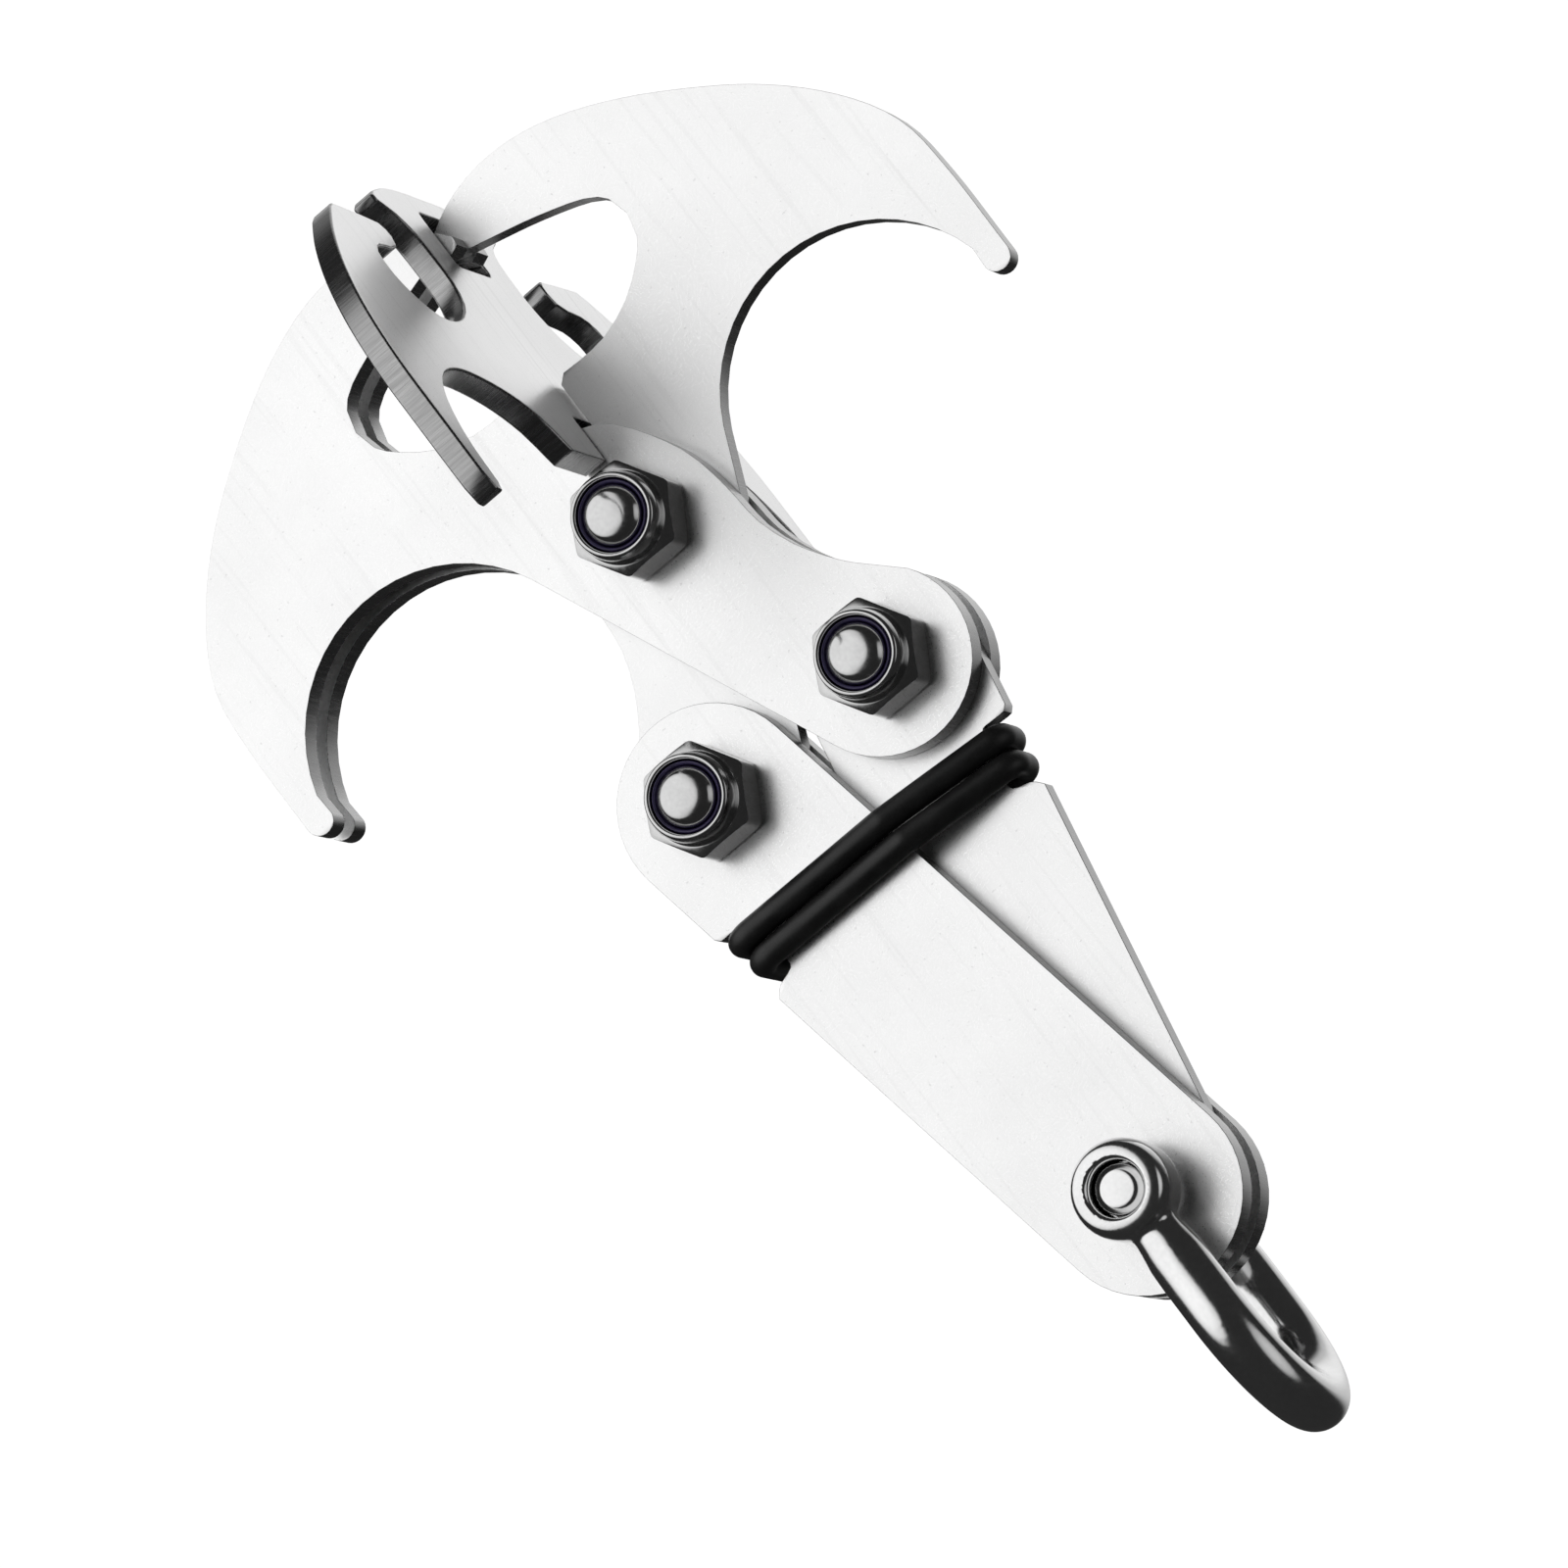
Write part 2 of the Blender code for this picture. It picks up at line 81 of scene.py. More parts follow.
# Sizes that the boxes don't give
ARM_SIDE = 9.7 * MM
NUT_ACROSS = 10.0 * MM
NUT_HEX_HEIGHT = 5.0 * MM
BOLT_R = 3.0 * MM
BOLT_HEAD_HEIGHT = 4.0 * MM
PIN_R = 2.5 * MM
PIN_HEAD_R = 4.3 * MM
PIN_HEAD_HEIGHT = 2.0 * MM
PIN_SLOT_WIDTH = 1.2 * MM
PIN_SLOT_DEPTH = 1.0 * MM
SHACKLE_NECK_R = 2.5 * MM
EAR_DEPTH = 6.6 * MM
RING_SLACK = 0.3 * MM
RING_TOUCH = 0.02 * MM
EDGE_BREAK = 0.28 * MM

# The studio's white walls: where each lies, seen from the anchor, and how its light fades out from there
AMBIENT = 0.03
FRONT_WALL = ((0.50, -0.70, -0.50), [(0.68, 0.0), (0.78, 0.95), (0.90, 1.25)])
BACK_WALL = ((-0.30, 0.85, -0.45), [(0.74, 0.0), (0.90, 0.65), (1.0, 1.05)])
TOP_STRIP = ((-0.9, -0.1, 0.45), [(0.90, 0.0), (0.96, 0.55), (1.0, 0.70)])
STUDIO_WALLS = (FRONT_WALL, BACK_WALL, TOP_STRIP)

# The backdrop
DOME_R = 6.0
FLOOR_DROP = 0.12
PAPER_LEVEL = 0.86
PAPER_GLOW = 1.0


# ---------------------------------------------------------------- materials

# A Mix node's colour sockets, which share their names with its number sockets
COLOUR_A, COLOUR_B, COLOUR_OUT = 6, 7, 2


class Nodes:
    """A short way to write a node material."""

    def __init__(self, name):
        self.material = bpy.data.materials.new(name)
        self.material.use_nodes = True
        self.tree = self.material.node_tree
        self.shader = self.tree.nodes["Principled BSDF"]
        self.place = self.add("ShaderNodeTexCoord").outputs["Object"]

    def add(self, kind, **settings):
        node = self.tree.nodes.new(kind)
        for key, value in settings.items():
            setattr(node, key, value)
        return node

    def feed(self, socket, value):
        if isinstance(value, bpy.types.NodeSocket):
            self.tree.links.new(value, socket)
        else:
            socket.default_value = value

    def stretch(self, scale, turn=(0.0, 0.0, 0.0)):
        node = self.add("ShaderNodeMapping")
        self.feed(node.inputs["Vector"], self.place)
        node.inputs["Scale"].default_value = scale
        node.inputs["Rotation"].default_value = turn
        return node.outputs["Vector"]

    def noise(self, scale, detail=4.0, rough=0.5, vector=None):
        node = self.add("ShaderNodeTexNoise")
        self.feed(node.inputs["Vector"], vector or self.place)
        node.inputs["Scale"].default_value = scale
        node.inputs["Detail"].default_value = detail
        node.inputs["Roughness"].default_value = rough
        return node.outputs["Fac"]

    def ramp(self, factor, stops):
        node = self.add("ShaderNodeValToRGB")
        self.feed(node.inputs["Fac"], factor)
        ramp = node.color_ramp
        while len(ramp.elements) < len(stops):
            ramp.elements.new(0.5)
        for element, (spot, level) in zip(ramp.elements, stops):
            element.position = spot
            element.color = (*level, 1.0) if isinstance(level, tuple) else (level, level, level, 1.0)
        return node.outputs["Color"]

    def math(self, operation, first, second=0.0):
        node = self.add("ShaderNodeMath", operation=operation)
        self.feed(node.inputs[0], first)
        self.feed(node.inputs[1], second)
        return node.outputs[0]

    def mix(self, factor, first, second):
        node = self.add("ShaderNodeMix", data_type="RGBA")
        self.feed(node.inputs["Factor"], factor)
        self.feed(node.inputs[COLOUR_A], first)
        self.feed(node.inputs[COLOUR_B], second)
        return node.outputs[COLOUR_OUT]

    def across_plate(self, axis):
        """1 on a plate's flat faces, 0 on its cut edges."""
        node = self.add("ShaderNodeSeparateXYZ")
        self.feed(node.inputs[0], self.add("ShaderNodeTexCoord").outputs["Normal"])
        return self.ramp(self.math("ABSOLUTE", node.outputs[axis]), [(0.80, 0.0), (0.97, 1.0)])

    def bump(self, height, strength, distance):
        node = self.add("ShaderNodeBump")
        self.feed(node.inputs["Height"], height)
        node.inputs["Strength"].default_value = strength
        node.inputs["Distance"].default_value = distance
        self.feed(self.shader.inputs["Normal"], node.outputs["Normal"])


def plate_steel(name, axis, face, scratches):
    """Tumbled stainless plate: a very fine grain and pits on the faces, cutting lines on the edges."""
    n = Nodes(name)
    flat = n.across_plate(axis)
    clouds = n.noise(70.0, 5.0, 0.6)
    grain = n.noise(9000.0, 3.0, 0.6)
    pits = n.ramp(n.noise(2600.0, 2.0, 0.5), [(0.70, 0.0), (0.76, 1.0)])
    one_way, other_way = (
        n.ramp(n.noise(1400.0, 2.0, 0.4, n.stretch((1.0, 1.0, 0.03), turn)), [(0.62, 0.0), (0.68, 1.0)])
        for turn in ((0.5, 0.6, 0.3), (-0.6, -0.5, 0.4)))
    marks = n.mix(scratches, pits, n.mix(0.5, one_way, other_way))
    dull = face - 0.22
    tone = n.mix(0.35, n.ramp(clouds, [(0.3, face - 0.05), (0.7, face + 0.03)]),
                 n.ramp(grain, [(0.3, face - 0.05), (0.7, face + 0.04)]))
    worn = n.mix(marks, tone, (dull, dull, dull, 1.0))
    cuts = n.noise(4000.0, 3.0, 0.6, n.stretch((1.0, 0.05, 1.0) if axis == "Y" else (0.05, 1.0, 1.0)))
    edge = n.ramp(cuts, [(0.3, 0.26), (0.5, 0.32), (0.7, 0.40)])
    n.feed(n.shader.inputs["Base Color"], n.mix(flat, edge, worn))
    n.feed(n.shader.inputs["Roughness"],
           n.mix(flat, n.ramp(cuts, [(0.3, 0.20), (0.7, 0.30)]), n.ramp(grain, [(0.3, 0.26), (0.7, 0.36)])))
    n.shader.inputs["Metallic"].default_value = 1.0
    n.bump(n.mix(flat, cuts, n.mix(0.5, grain, marks)), 0.12, 0.00003)
    return n.material


def polished_steel(name, tone, low_rough, high_rough):
    """Polished stainless: faint drawing marks and a breath of wear in the gloss."""
    n = Nodes(name)
    smear = n.noise(160.0, 5.0, 0.6)
    hair = n.noise(2400.0, 2.0, 0.5, n.stretch((1.0, 0.12, 1.0)))
    n.feed(n.shader.inputs["Base Color"],
           n.mix(0.35, n.ramp(smear, [(0.3, tone - 0.06), (0.7, tone + 0.05)]),
                 n.ramp(hair, [(0.3, tone - 0.08), (0.7, tone + 0.04)])))
    n.feed(n.shader.inputs["Roughness"],
           n.ramp(n.mix(0.5, smear, hair), [(0.3, low_rough), (0.7, high_rough)]))
    n.shader.inputs["Metallic"].default_value = 1.0
    n.bump(hair, 0.10, 0.00003)
    return n.material


def nylon_blue():
    """Dark violet-blue nylon, slightly mottled."""
    n = Nodes("nylon_insert")
    cloud = n.noise(900.0, 4.0, 0.6)
    n.feed(n.shader.inputs["Base Color"],
           n.ramp(cloud, [(0.3, (0.020, 0.015, 0.055)), (0.7, (0.055, 0.040, 0.13))]))
    n.feed(n.shader.inputs["Roughness"], n.ramp(cloud, [(0.3, 0.28), (0.7, 0.42)]))
    n.bump(cloud, 0.15, 0.00005)
    return n.material


def black_rubber():
    """Moulded rubber: soft sheen, dusty bloom and a fine pebble."""
    n = Nodes("black_rubber")
    bloom = n.noise(220.0, 5.0, 0.65)
    pebble = n.noise(5200.0, 2.0, 0.5)
    n.feed(n.shader.inputs["Base Color"],
           n.mix(0.3, n.ramp(bloom, [(0.35, 0.006), (0.75, 0.020)]),
                 n.ramp(pebble, [(0.3, 0.004), (0.7, 0.028)])))
    n.feed(n.shader.inputs["Roughness"], n.ramp(bloom, [(0.3, 0.34), (0.7, 0.52)]))
    n.shader.inputs["Specular IOR Level"].default_value = 0.45
    n.bump(n.mix(0.5, bloom, pebble), 0.25, 0.00004)
    return n.material


# ------------------------------------------------------------- mesh pieces

def loose(bm, name="tool"):
    """An object from a bmesh, with no material and no body yet."""
    bmesh.ops.recalc_face_normals(bm, faces=bm.faces)
    mesh = bpy.data.meshes.new(name)
    bm.to_mesh(mesh)
    bm.free()
    obj = bpy.data.objects.new(name, mesh)
    bpy.context.scene.collection.objects.link(obj)
    return obj


def dressed(obj, material, body, replaced, sharp=40):
    """Give a piece its material, its shading and its place on a body."""
    obj.data.materials.clear()
    obj.data.materials.append(material)
    obj.data.shade_smooth()
    obj.data.set_sharp_from_angle(angle=math.radians(sharp))
    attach(obj, body)
    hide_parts(replaced)
    return obj


def piece_from(name, bm, material, body, replaced, sharp=40):
    bmesh.ops.remove_doubles(bm, verts=bm.verts, dist=1e-7)
    return dressed(loose(bm, name), material, body, replaced, sharp)


def skin(bm, rings, closed=False):
    """Faces between rings of vertices; a one-vertex ring closes onto a point."""
    pairs = list(zip(rings, rings[1:])) + ([(rings[-1], rings[0])] if closed else [])
    for first, second in pairs:
        count = max(len(first), len(second))
        for i in range(count):
            j = (i + 1) % count
            corners = dict.fromkeys((first[i % len(first)], first[j % len(first)],
                                     second[j % len(second)], second[i % len(second)]))
            if len(corners) > 2:
                bm.faces.new(list(corners))


def ring_of(bm, radius, height, sides):
    """radius is a number, or a function of the angle; so is height."""
    verts = []
    for i in range(sides):
        t = 2 * math.pi * i / sides
        r = radius(t) if callable(radius) else radius
        z = height(t) if callable(height) else height
        verts.append(bm.verts.new((r * math.cos(t), r * math.sin(t), z)))
    return verts


def turned(profile, sides=96, closed=False):
    bm = bmesh.new()
    rings = [[bm.verts.new((0, 0, z))] if r == 0 else ring_of(bm, r, z, sides) for r, z in profile]
    skin(bm, rings, closed)
    return bm


def rounded(corners, radius=0.15 * MM, steps=4):
    """Round each corner of a (radius, height) profile; the two ends stay."""
    line = [corners[0]]
    for a, b, c in zip(corners, corners[1:], corners[2:]):
        a, b, c = Vector(a), Vector(b), Vector(c)
        reach = min(radius, (a - b).length * 0.45, (c - b).length * 0.45)
        start, end = b + (a - b).normalized() * reach, b + (c - b).normalized() * reach
        for k in range(steps + 1):
            t = k / steps
            line.append(tuple((1 - t) ** 2 * start + 2 * t * (1 - t) * b + t ** 2 * end))
    return line + [corners[-1]]


def hex_radius(t):
    """Radius of a hexagon's side at an angle, its corners eased."""
    slice_angle = math.pi / 3
    nearest = (t % slice_angle) - slice_angle / 2
    return NUT_ACROSS / 2 * min(1 / math.cos(nearest), 1.135)


def hex_side(bottom, top, circle_r, slope=math.radians(28)):
    """Rings up a hexagon's side, cut back top and bottom by a 28 degree cone."""
    def cut(t):
        return max(0.0, hex_radius(t) - circle_r) * math.tan(slope)
    soft = 0.04 * MM
    return [(circle_r, bottom),
            (hex_radius, lambda t: bottom + cut(t) + soft),
            (hex_radius, lambda t: top - cut(t) - soft),
            (circle_r, top)]


def stand(bm, x, y, z, direction=-1):
    """Turn a piece made up the Z axis so that it runs along direction * Y from a point."""
    turn = Matrix.Rotation(math.radians(90 * -direction), 4, "X")
    bmesh.ops.transform(bm, matrix=Matrix.Translation((x, y, z)) @ turn, verts=bm.verts)
    return bm


def make_bolt(name, body, steel):
    """Hexagon head with a turned washer face behind, a plain shank and a domed end in front."""
    lowest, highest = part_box(name)
    x, z = centre_of(name).x, centre_of(name).z
    head = BOLT_HEAD_HEIGHT
    length = highest.y - head - lowest.y
    washer = 0.25 * MM
    crown = [(0.6 * MM, -head + 0.10 * MM), (3.9 * MM, -head + 0.06 * MM), (4.1 * MM, -head)]
    shank = rounded([(4.55 * MM, -washer), (4.5 * MM, 0.0), (BOLT_R, 0.0),
                     (BOLT_R, length - 1.05 * MM), (2.35 * MM, length - 0.28 * MM),
                     (1.5 * MM, length - 0.06 * MM), (0.05 * MM, length)], 0.35 * MM)
    bm = bmesh.new()
    rings = [ring_of(bm, r, h, 96) for r, h in crown + hex_side(-head, -washer, 4.7 * MM) + shank]
    skin(bm, [[bm.verts.new((0, 0, -head + 0.10 * MM))]] + rings + [[bm.verts.new((0, 0, length))]])
    stand(bm, x, highest.y - head, z)
    return piece_from(name + "_turned", bm, steel, body, name)


def make_nut(name, body, steel):
    """A chamfered hexagon below, a rolled collar above."""
    lowest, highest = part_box(name)
    x, z = centre_of(name).x, centre_of(name).z
    height = highest.y - lowest.y
    hexagon = NUT_HEX_HEIGHT
    bm = bmesh.new()
    outside = hex_side(0.0, hexagon, 4.75 * MM)
    collar = rounded([(4.75 * MM, hexagon), (4.5 * MM, hexagon + 0.05 * MM),
                      (4.42 * MM, hexagon + 0.6 * MM), (4.40 * MM, height - 0.9 * MM),
                      (4.15 * MM, height - 0.12 * MM), (3.85 * MM, height), (3.62 * MM, height - 0.15 * MM),
                      (3.58 * MM, height - 0.7 * MM), (3.58 * MM, height - 2.2 * MM),
                      (3.2 * MM, height - 2.4 * MM), (3.2 * MM, 0.5 * MM), (3.5 * MM, 0.0)], 0.3 * MM)
    rings = [ring_of(bm, r, h, 120) for r, h in outside + collar[1:]]
    skin(bm, rings, closed=True)
    stand(bm, x, highest.y, z)
    return piece_from(name + "_turned", bm, steel, body, name)


def make_nylon(name, body, nylon):
    """The locking insert: a soft-edged ring that the bolt has pressed open."""
    lowest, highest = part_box(name)
    x, z = centre_of(name).x, centre_of(name).z
    height = highest.y - lowest.y
    profile = rounded([(3.12 * MM, 0.3 * MM), (3.2 * MM, 0.0), (3.5 * MM, 0.0),
                       (3.5 * MM, height - 0.3 * MM),
                       (3.4 * MM, height), (3.2 * MM, height - 0.1 * MM), (3.08 * MM, height - 0.4 * MM),
                       (3.05 * MM, height * 0.5), (3.12 * MM, 0.3 * MM)], 0.25 * MM)[:-1]
    bm = turned(profile, 96, closed=True)
    stand(bm, x, highest.y, z)
    return piece_from(name + "_moulded", bm, nylon, body, name)


def sweep(path, radius, sides=48, closed=False, plane=Vector((1, 0, 0))):
    """A round rod along a flat path; radius may be a function of the way along."""
    bm = bmesh.new()
    count = len(path)
    rings = []
    for i, spot in enumerate(path):
        before = path[i - 1] if i or closed else path[0]
        after = path[(i + 1) % count] if i < count - 1 or closed else path[-1]
        side = (after - before).normalized().cross(plane)
        r = radius(i / (count - 1)) if callable(radius) else radius
        rings.append([bm.verts.new(spot + r * (side * math.cos(2 * math.pi * k / sides)
                                               + plane * math.sin(2 * math.pi * k / sides)))
                      for k in range(sides)])
    skin(bm, rings, closed)
    if not closed:
        bm.faces.new(rings[0])
        bm.faces.new(rings[-1])
    return bm


def applied(obj):
    """Turn an object's modifiers into its mesh."""
    graph = bpy.context.evaluated_depsgraph_get()
    mesh = bpy.data.meshes.new_from_object(obj.evaluated_get(graph))
    obj.modifiers.clear()
    obj.data = mesh
    return obj


def boolean(obj, tool, operation):
    modifier = obj.modifiers.new("shape", "BOOLEAN")
    modifier.operation = operation
    modifier.solver = "EXACT"
    modifier.object = tool
    applied(obj)
    bpy.data.objects.remove(tool, do_unlink=True)


def rod_radius(full):
    """The rod's radius along the bow: narrow necks below the ears, full round the crown."""
    def radius(way):
        from_ear = min(way, 1 - way)
        swell = min(1.0, max(0.0, (from_ear - 0.07) / 0.06))
        return SHACKLE_NECK_R + (full - SHACKLE_NECK_R) * swell * swell * (3 - 2 * swell)
    return radius


def make_shackle(steel):
    """Forged bow: rod and ears flow into each other, then the pin's hole is bored."""
    lowest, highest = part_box("shackle_bow")
    rod = highest.z / 2
    ear_out = highest.y
    ear_r = PIN_Z - lowest.z
    mouth = ear_out - EAR_DEPTH
    leg = mouth + rod
    centre_z = rod - leg
    legs = [Vector((0, leg, PIN_Z + (centre_z - PIN_Z) * k / 20)) for k in range(20)]
    bend = [Vector((0, leg * math.cos(math.pi * k / 48), centre_z + leg * math.sin(math.pi * k / 48)))
            for k in range(49)]
    path = legs + bend + [Vector((0, -p.y, p.z)) for p in reversed(legs)]
    bow = loose(sweep(path, rod_radius(rod)), "shackle_bow_forged")
    for direction in (-1, 1):
        profile = rounded([(0, 0.0), (ear_r - 0.4 * MM, 0.0), (ear_r, 1.0 * MM),
                           (ear_r, EAR_DEPTH - 1.6 * MM), (ear_r - 0.5 * MM, EAR_DEPTH - 0.3 * MM),
                           (ear_r - 1.2 * MM, EAR_DEPTH), (0, EAR_DEPTH)], 0.8 * MM, 6)
        ear = turned(profile, 72)
        stand(ear, 0, direction * mouth, PIN_Z, direction)
        boolean(bow, loose(ear), "UNION")
    remesh = bow.modifiers.new("blend", "REMESH")
    remesh.mode = "VOXEL"
    remesh.voxel_size = 0.26 * MM
    soften = bow.modifiers.new("soften", "SMOOTH")
    soften.factor = 0.5
    soften.iterations = 9
    applied(bow)
    for direction in (-1, 1):
        bore = PIN_R + 0.3 * MM
        reach = EAR_DEPTH + 2 * MM
        flare = [(0, -MM), (bore, -MM), (bore, EAR_DEPTH - 0.30 * MM),
                 (bore + 0.6 * MM, EAR_DEPTH + 0.3 * MM), (bore + 0.6 * MM, reach), (0, reach)]
        cutter = turned(flare, 72)
        stand(cutter, 0, direction * mouth, PIN_Z, direction)
        boolean(bow, loose(cutter), "DIFFERENCE")
    return dressed(bow, steel, "shackle", "shackle_bow", sharp=50)


def make_pin(steel):
    """The screw pin: a turned shaft, with a slotted head behind."""
    lowest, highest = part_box("shackle_pin")
    head, head_r = PIN_HEAD_HEIGHT, PIN_HEAD_R
    back = highest.y - head
    length = back - lowest.y
    profile = rounded([(0, -head), (head_r - 0.3 * MM, -head), (head_r, -0.7 * head), (head_r, 0),
                       (PIN_R, 0), (PIN_R, length - 0.6 * MM), (PIN_R - 0.7 * MM, length), (0, length)],
                      0.35 * MM, 5)
    body = turned(profile, 72)
    stand(body, 0, back, PIN_Z)
    pin = loose(body, "shackle_pin_turned")
    slot = bmesh.new()
    bmesh.ops.create_cube(slot, size=1.0)
    bmesh.ops.scale(slot, vec=(PIN_SLOT_WIDTH, 2 * PIN_SLOT_DEPTH, 3 * head_r), verts=slot.verts)
    bmesh.ops.translate(slot, vec=(0, highest.y, PIN_Z), verts=slot.verts)
    boolean(pin, loose(slot), "DIFFERENCE")
    return dressed(pin, steel, "shackle", "shackle_pin")


def corner_arc(centre, radius, start, end, count=10):
    """Points of an arc in the XY plane, its ends included."""
    return [Vector((centre[0] + radius * math.cos(start + (end - start) * k / count),
                    centre[1] + radius * math.sin(start + (end - start) * k / count), 0.0))
            for k in range(count + 1)]


def make_ring(name, body, rubber):
    """A stretched ring, taut over the plates' corners."""
    lowest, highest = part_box(name)
    height = (lowest.z + highest.z) / 2
    section = (highest.z - lowest.z) / 2 + RING_TOUCH
    reach = section + RING_SLACK
    outer, inner = highest.x - section - reach, lowest.x + section + reach
    stack = -lowest.y - section - reach
    split = inner_edge(height)
    bend = math.atan2(stack - MIDDLE_HALF, split - inner)
    upper = list(chain(corner_arc((outer, stack), reach, 0, math.pi / 2),
                       corner_arc((split, stack), reach, math.pi / 2, math.pi / 2 + bend),
                       corner_arc((inner, MIDDLE_HALF), reach, math.pi / 2 + bend, math.pi)))
    corners = upper + [Vector((p.x, -p.y, 0.0)) for p in reversed(upper)]
    path = []
    for a, b in zip(corners, corners[1:] + corners[:1]):
        count = max(1, round((b - a).length / (0.7 * MM)))
        path += [a.lerp(b, k / count) + Vector((0, 0, height)) for k in range(count)]
    bm = sweep(path, section, 40, closed=True, plane=Vector((0, 0, 1)))
    return piece_from(name + "_moulded", bm, rubber, body, name, sharp=60)


def inner_edge(height):
    """Where the double arm's inner edge crosses a height, at -X of the axis."""
    lowest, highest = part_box("outer_arm_front_plate")
    top = Vector((0.0, PIN_Z))
    bottom = Vector((highest.x - ARM_SIDE, lowest.z + ARM_SIDE))
    way = (bottom - top).normalized()
    t = (height - top.y) / way.y
    return top.x + way.x * t - ARM_SIDE / abs(way.y)


def dress_plate(name, steel):
    """A CAD plate keeps its shape; its cut edges get a small break."""
    obj = NODES[name]
    obj.data.materials.clear()
    obj.data.materials.append(steel)
    obj.data.shade_smooth()
    weld = obj.modifiers.new("weld", "WELD")
    weld.merge_threshold = 1e-6
    edge_break = obj.modifiers.new("edge_break", "BEVEL")
    edge_break.width = EDGE_BREAK
    edge_break.segments = 3
    edge_break.limit_method = "ANGLE"
    edge_break.angle_limit = math.radians(40)
    level_faces = obj.modifiers.new("level_faces", "WEIGHTED_NORMAL")
    level_faces.mode = "FACE_AREA"
    level_faces.weight = 100


# ------------------------------------------------------------ light, camera

def glow_towards(tree, direction, aim, stops):
    """A pale patch of sky: its level rises as a direction nears the aim."""
    nearness = tree.nodes.new("ShaderNodeVectorMath")
    nearness.operation = "DOT_PRODUCT"
    tree.links.new(direction, nearness.inputs[0])
    nearness.inputs[1].default_value = Vector(aim).normalized()
    ramp = tree.nodes.new("ShaderNodeValToRGB")
    tree.links.new(nearness.outputs["Value"], ramp.inputs["Fac"])
    ramp.color_ramp.interpolation = "EASE"
    while len(ramp.color_ramp.elements) < len(stops):
        ramp.color_ramp.elements.new(0.5)
    for element, (spot, level) in zip(ramp.color_ramp.elements, stops):
        element.position = spot
        element.color = (level, level, level, 1.0)
    return ramp.outputs["Color"]


def studio():
    """Dark surroundings with a wide white wall in front of the plates, and a dimmer one behind."""
    world = bpy.data.worlds.new("studio")
    bpy.context.scene.world = world
    world.use_nodes = True
    tree = world.node_tree
    direction = tree.nodes.new("ShaderNodeTexCoord").outputs["Generated"]
    total = None
    for aim, stops in STUDIO_WALLS:
        light = glow_towards(tree, direction, aim, stops)
        joined = tree.nodes.new("ShaderNodeMix")
        joined.data_type = "RGBA"
        joined.blend_type = "ADD"
        joined.inputs["Factor"].default_value = 1.0
        if total is None:
            joined.inputs[COLOUR_A].default_value = (AMBIENT, AMBIENT, AMBIENT, 1.0)
        else:
            tree.links.new(total, joined.inputs[COLOUR_A])
        tree.links.new(light, joined.inputs[COLOUR_B])
        total = joined.outputs[COLOUR_OUT]
    tree.links.new(total, tree.nodes["Background"].inputs["Color"])


def paper(name):
    n = Nodes(name + "_paper")
    fleck = n.noise(3.0, 2.0, 0.5)
    n.feed(n.shader.inputs["Base Color"],
           n.ramp(fleck, [(0.2, PAPER_LEVEL - 0.01), (0.8, PAPER_LEVEL + 0.01)]))
    n.shader.inputs["Roughness"].default_value = 0.9
    n.shader.inputs["Emission Color"].default_value = (1.0, 1.0, 1.0, 1.0)
    n.shader.inputs["Emission Strength"].default_value = PAPER_GLOW
    return n.material


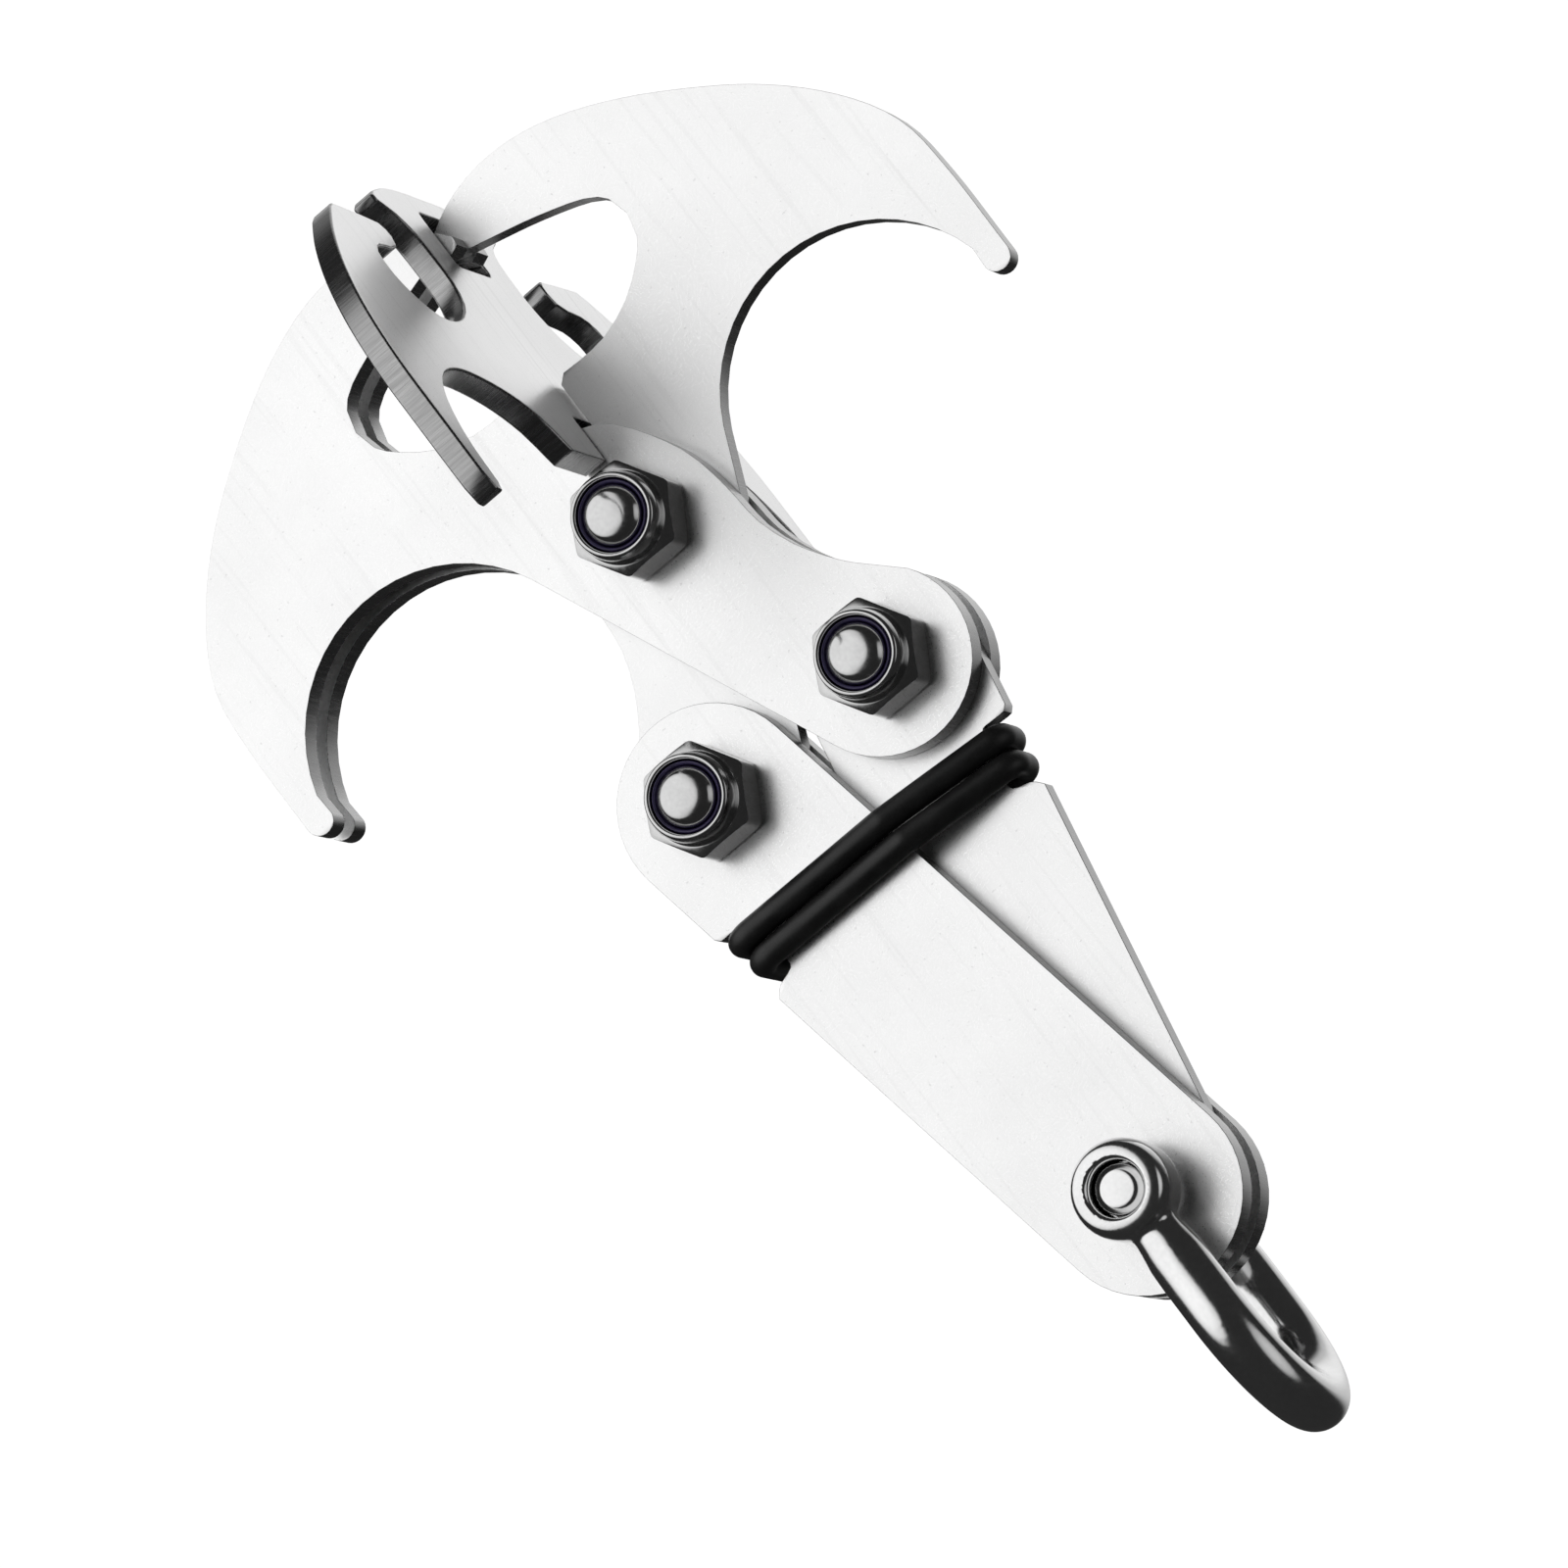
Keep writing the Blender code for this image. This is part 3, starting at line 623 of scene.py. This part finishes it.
def backdrop():
    """A pale floor and a pale dome behind; mirrors look past both to the studio."""
    floor_bm = bmesh.new()
    bmesh.ops.create_circle(floor_bm, cap_ends=True, segments=96, radius=DOME_R)
    bmesh.ops.translate(floor_bm, verts=floor_bm.verts, vec=(0, 0, low.z - FLOOR_DROP))
    dome_bm = bmesh.new()
    bmesh.ops.create_uvsphere(dome_bm, u_segments=64, v_segments=32, radius=DOME_R)
    for name, bm in (("floor", floor_bm), ("dome", dome_bm)):
        obj = loose(bm, name)
        obj.data.materials.append(paper(name))
        obj.data.shade_smooth()
        obj.visible_glossy = False
        obj.visible_diffuse = False
        obj.visible_shadow = False
        obj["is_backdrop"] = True


def photo_camera():
    """Seen from the nut side and a little above, rolled so that the claws point up and left."""
    azimuth, elevation, roll = math.radians(-11.9), math.radians(15.4), math.radians(-143.0)
    target = Vector((6.2 * MM, 6.1 * MM, PIN_Z - 56.3 * MM))
    distance = 1.105
    back = Vector((math.sin(azimuth) * math.cos(elevation), -math.cos(azimuth) * math.cos(elevation),
                   math.sin(elevation)))
    right = Vector((0, 0, 1)).cross(back).normalized()
    up = back.cross(right)
    rolled_up = math.cos(roll) * up + math.sin(roll) * right
    rolled_right = rolled_up.cross(back)
    data = bpy.data.cameras.new("camera")
    data.lens = 263.0
    data.sensor_width = 36.0
    data.clip_end = 50.0
    camera = bpy.data.objects.new("camera", data)
    turn = Matrix((rolled_right, rolled_up, back)).transposed().to_4x4()
    camera.matrix_world = Matrix.Translation(target + back * distance) @ turn
    bpy.context.scene.collection.objects.link(camera)
    bpy.context.scene.camera = camera


def main():
    photo_camera()
    studio()
    backdrop()
    view_settings = bpy.context.scene.view_settings
    view_settings.view_transform = "Standard"
    main_steel = plate_steel("tumbled_plate_steel", "Y", 0.86, 0.25)
    cross_steel = plate_steel("scratched_plate_steel", "X", 0.80, 0.55)
    fastener_steel = polished_steel("fastener_steel", 0.54, 0.10, 0.22)
    shackle_steel = polished_steel("shackle_steel", 0.70, 0.11, 0.20)
    for name in PLATES:
        dress_plate(name, cross_steel if name == "cross_claw_plate" else main_steel)
    nylon = nylon_blue()
    for prefix, body in FASTENERS.items():
        make_bolt(prefix + "_bolt", body, fastener_steel)
        make_nut(prefix + "_lock_nut", body, fastener_steel)
        make_nylon(prefix + "_nylon_ring", body, nylon)
    make_shackle(shackle_steel)
    make_pin(shackle_steel)
    rubber = black_rubber()
    make_ring("lower_rubber_ring", "lower_ring", rubber)
    make_ring("upper_rubber_ring", "upper_ring", rubber)


main()
low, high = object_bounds()
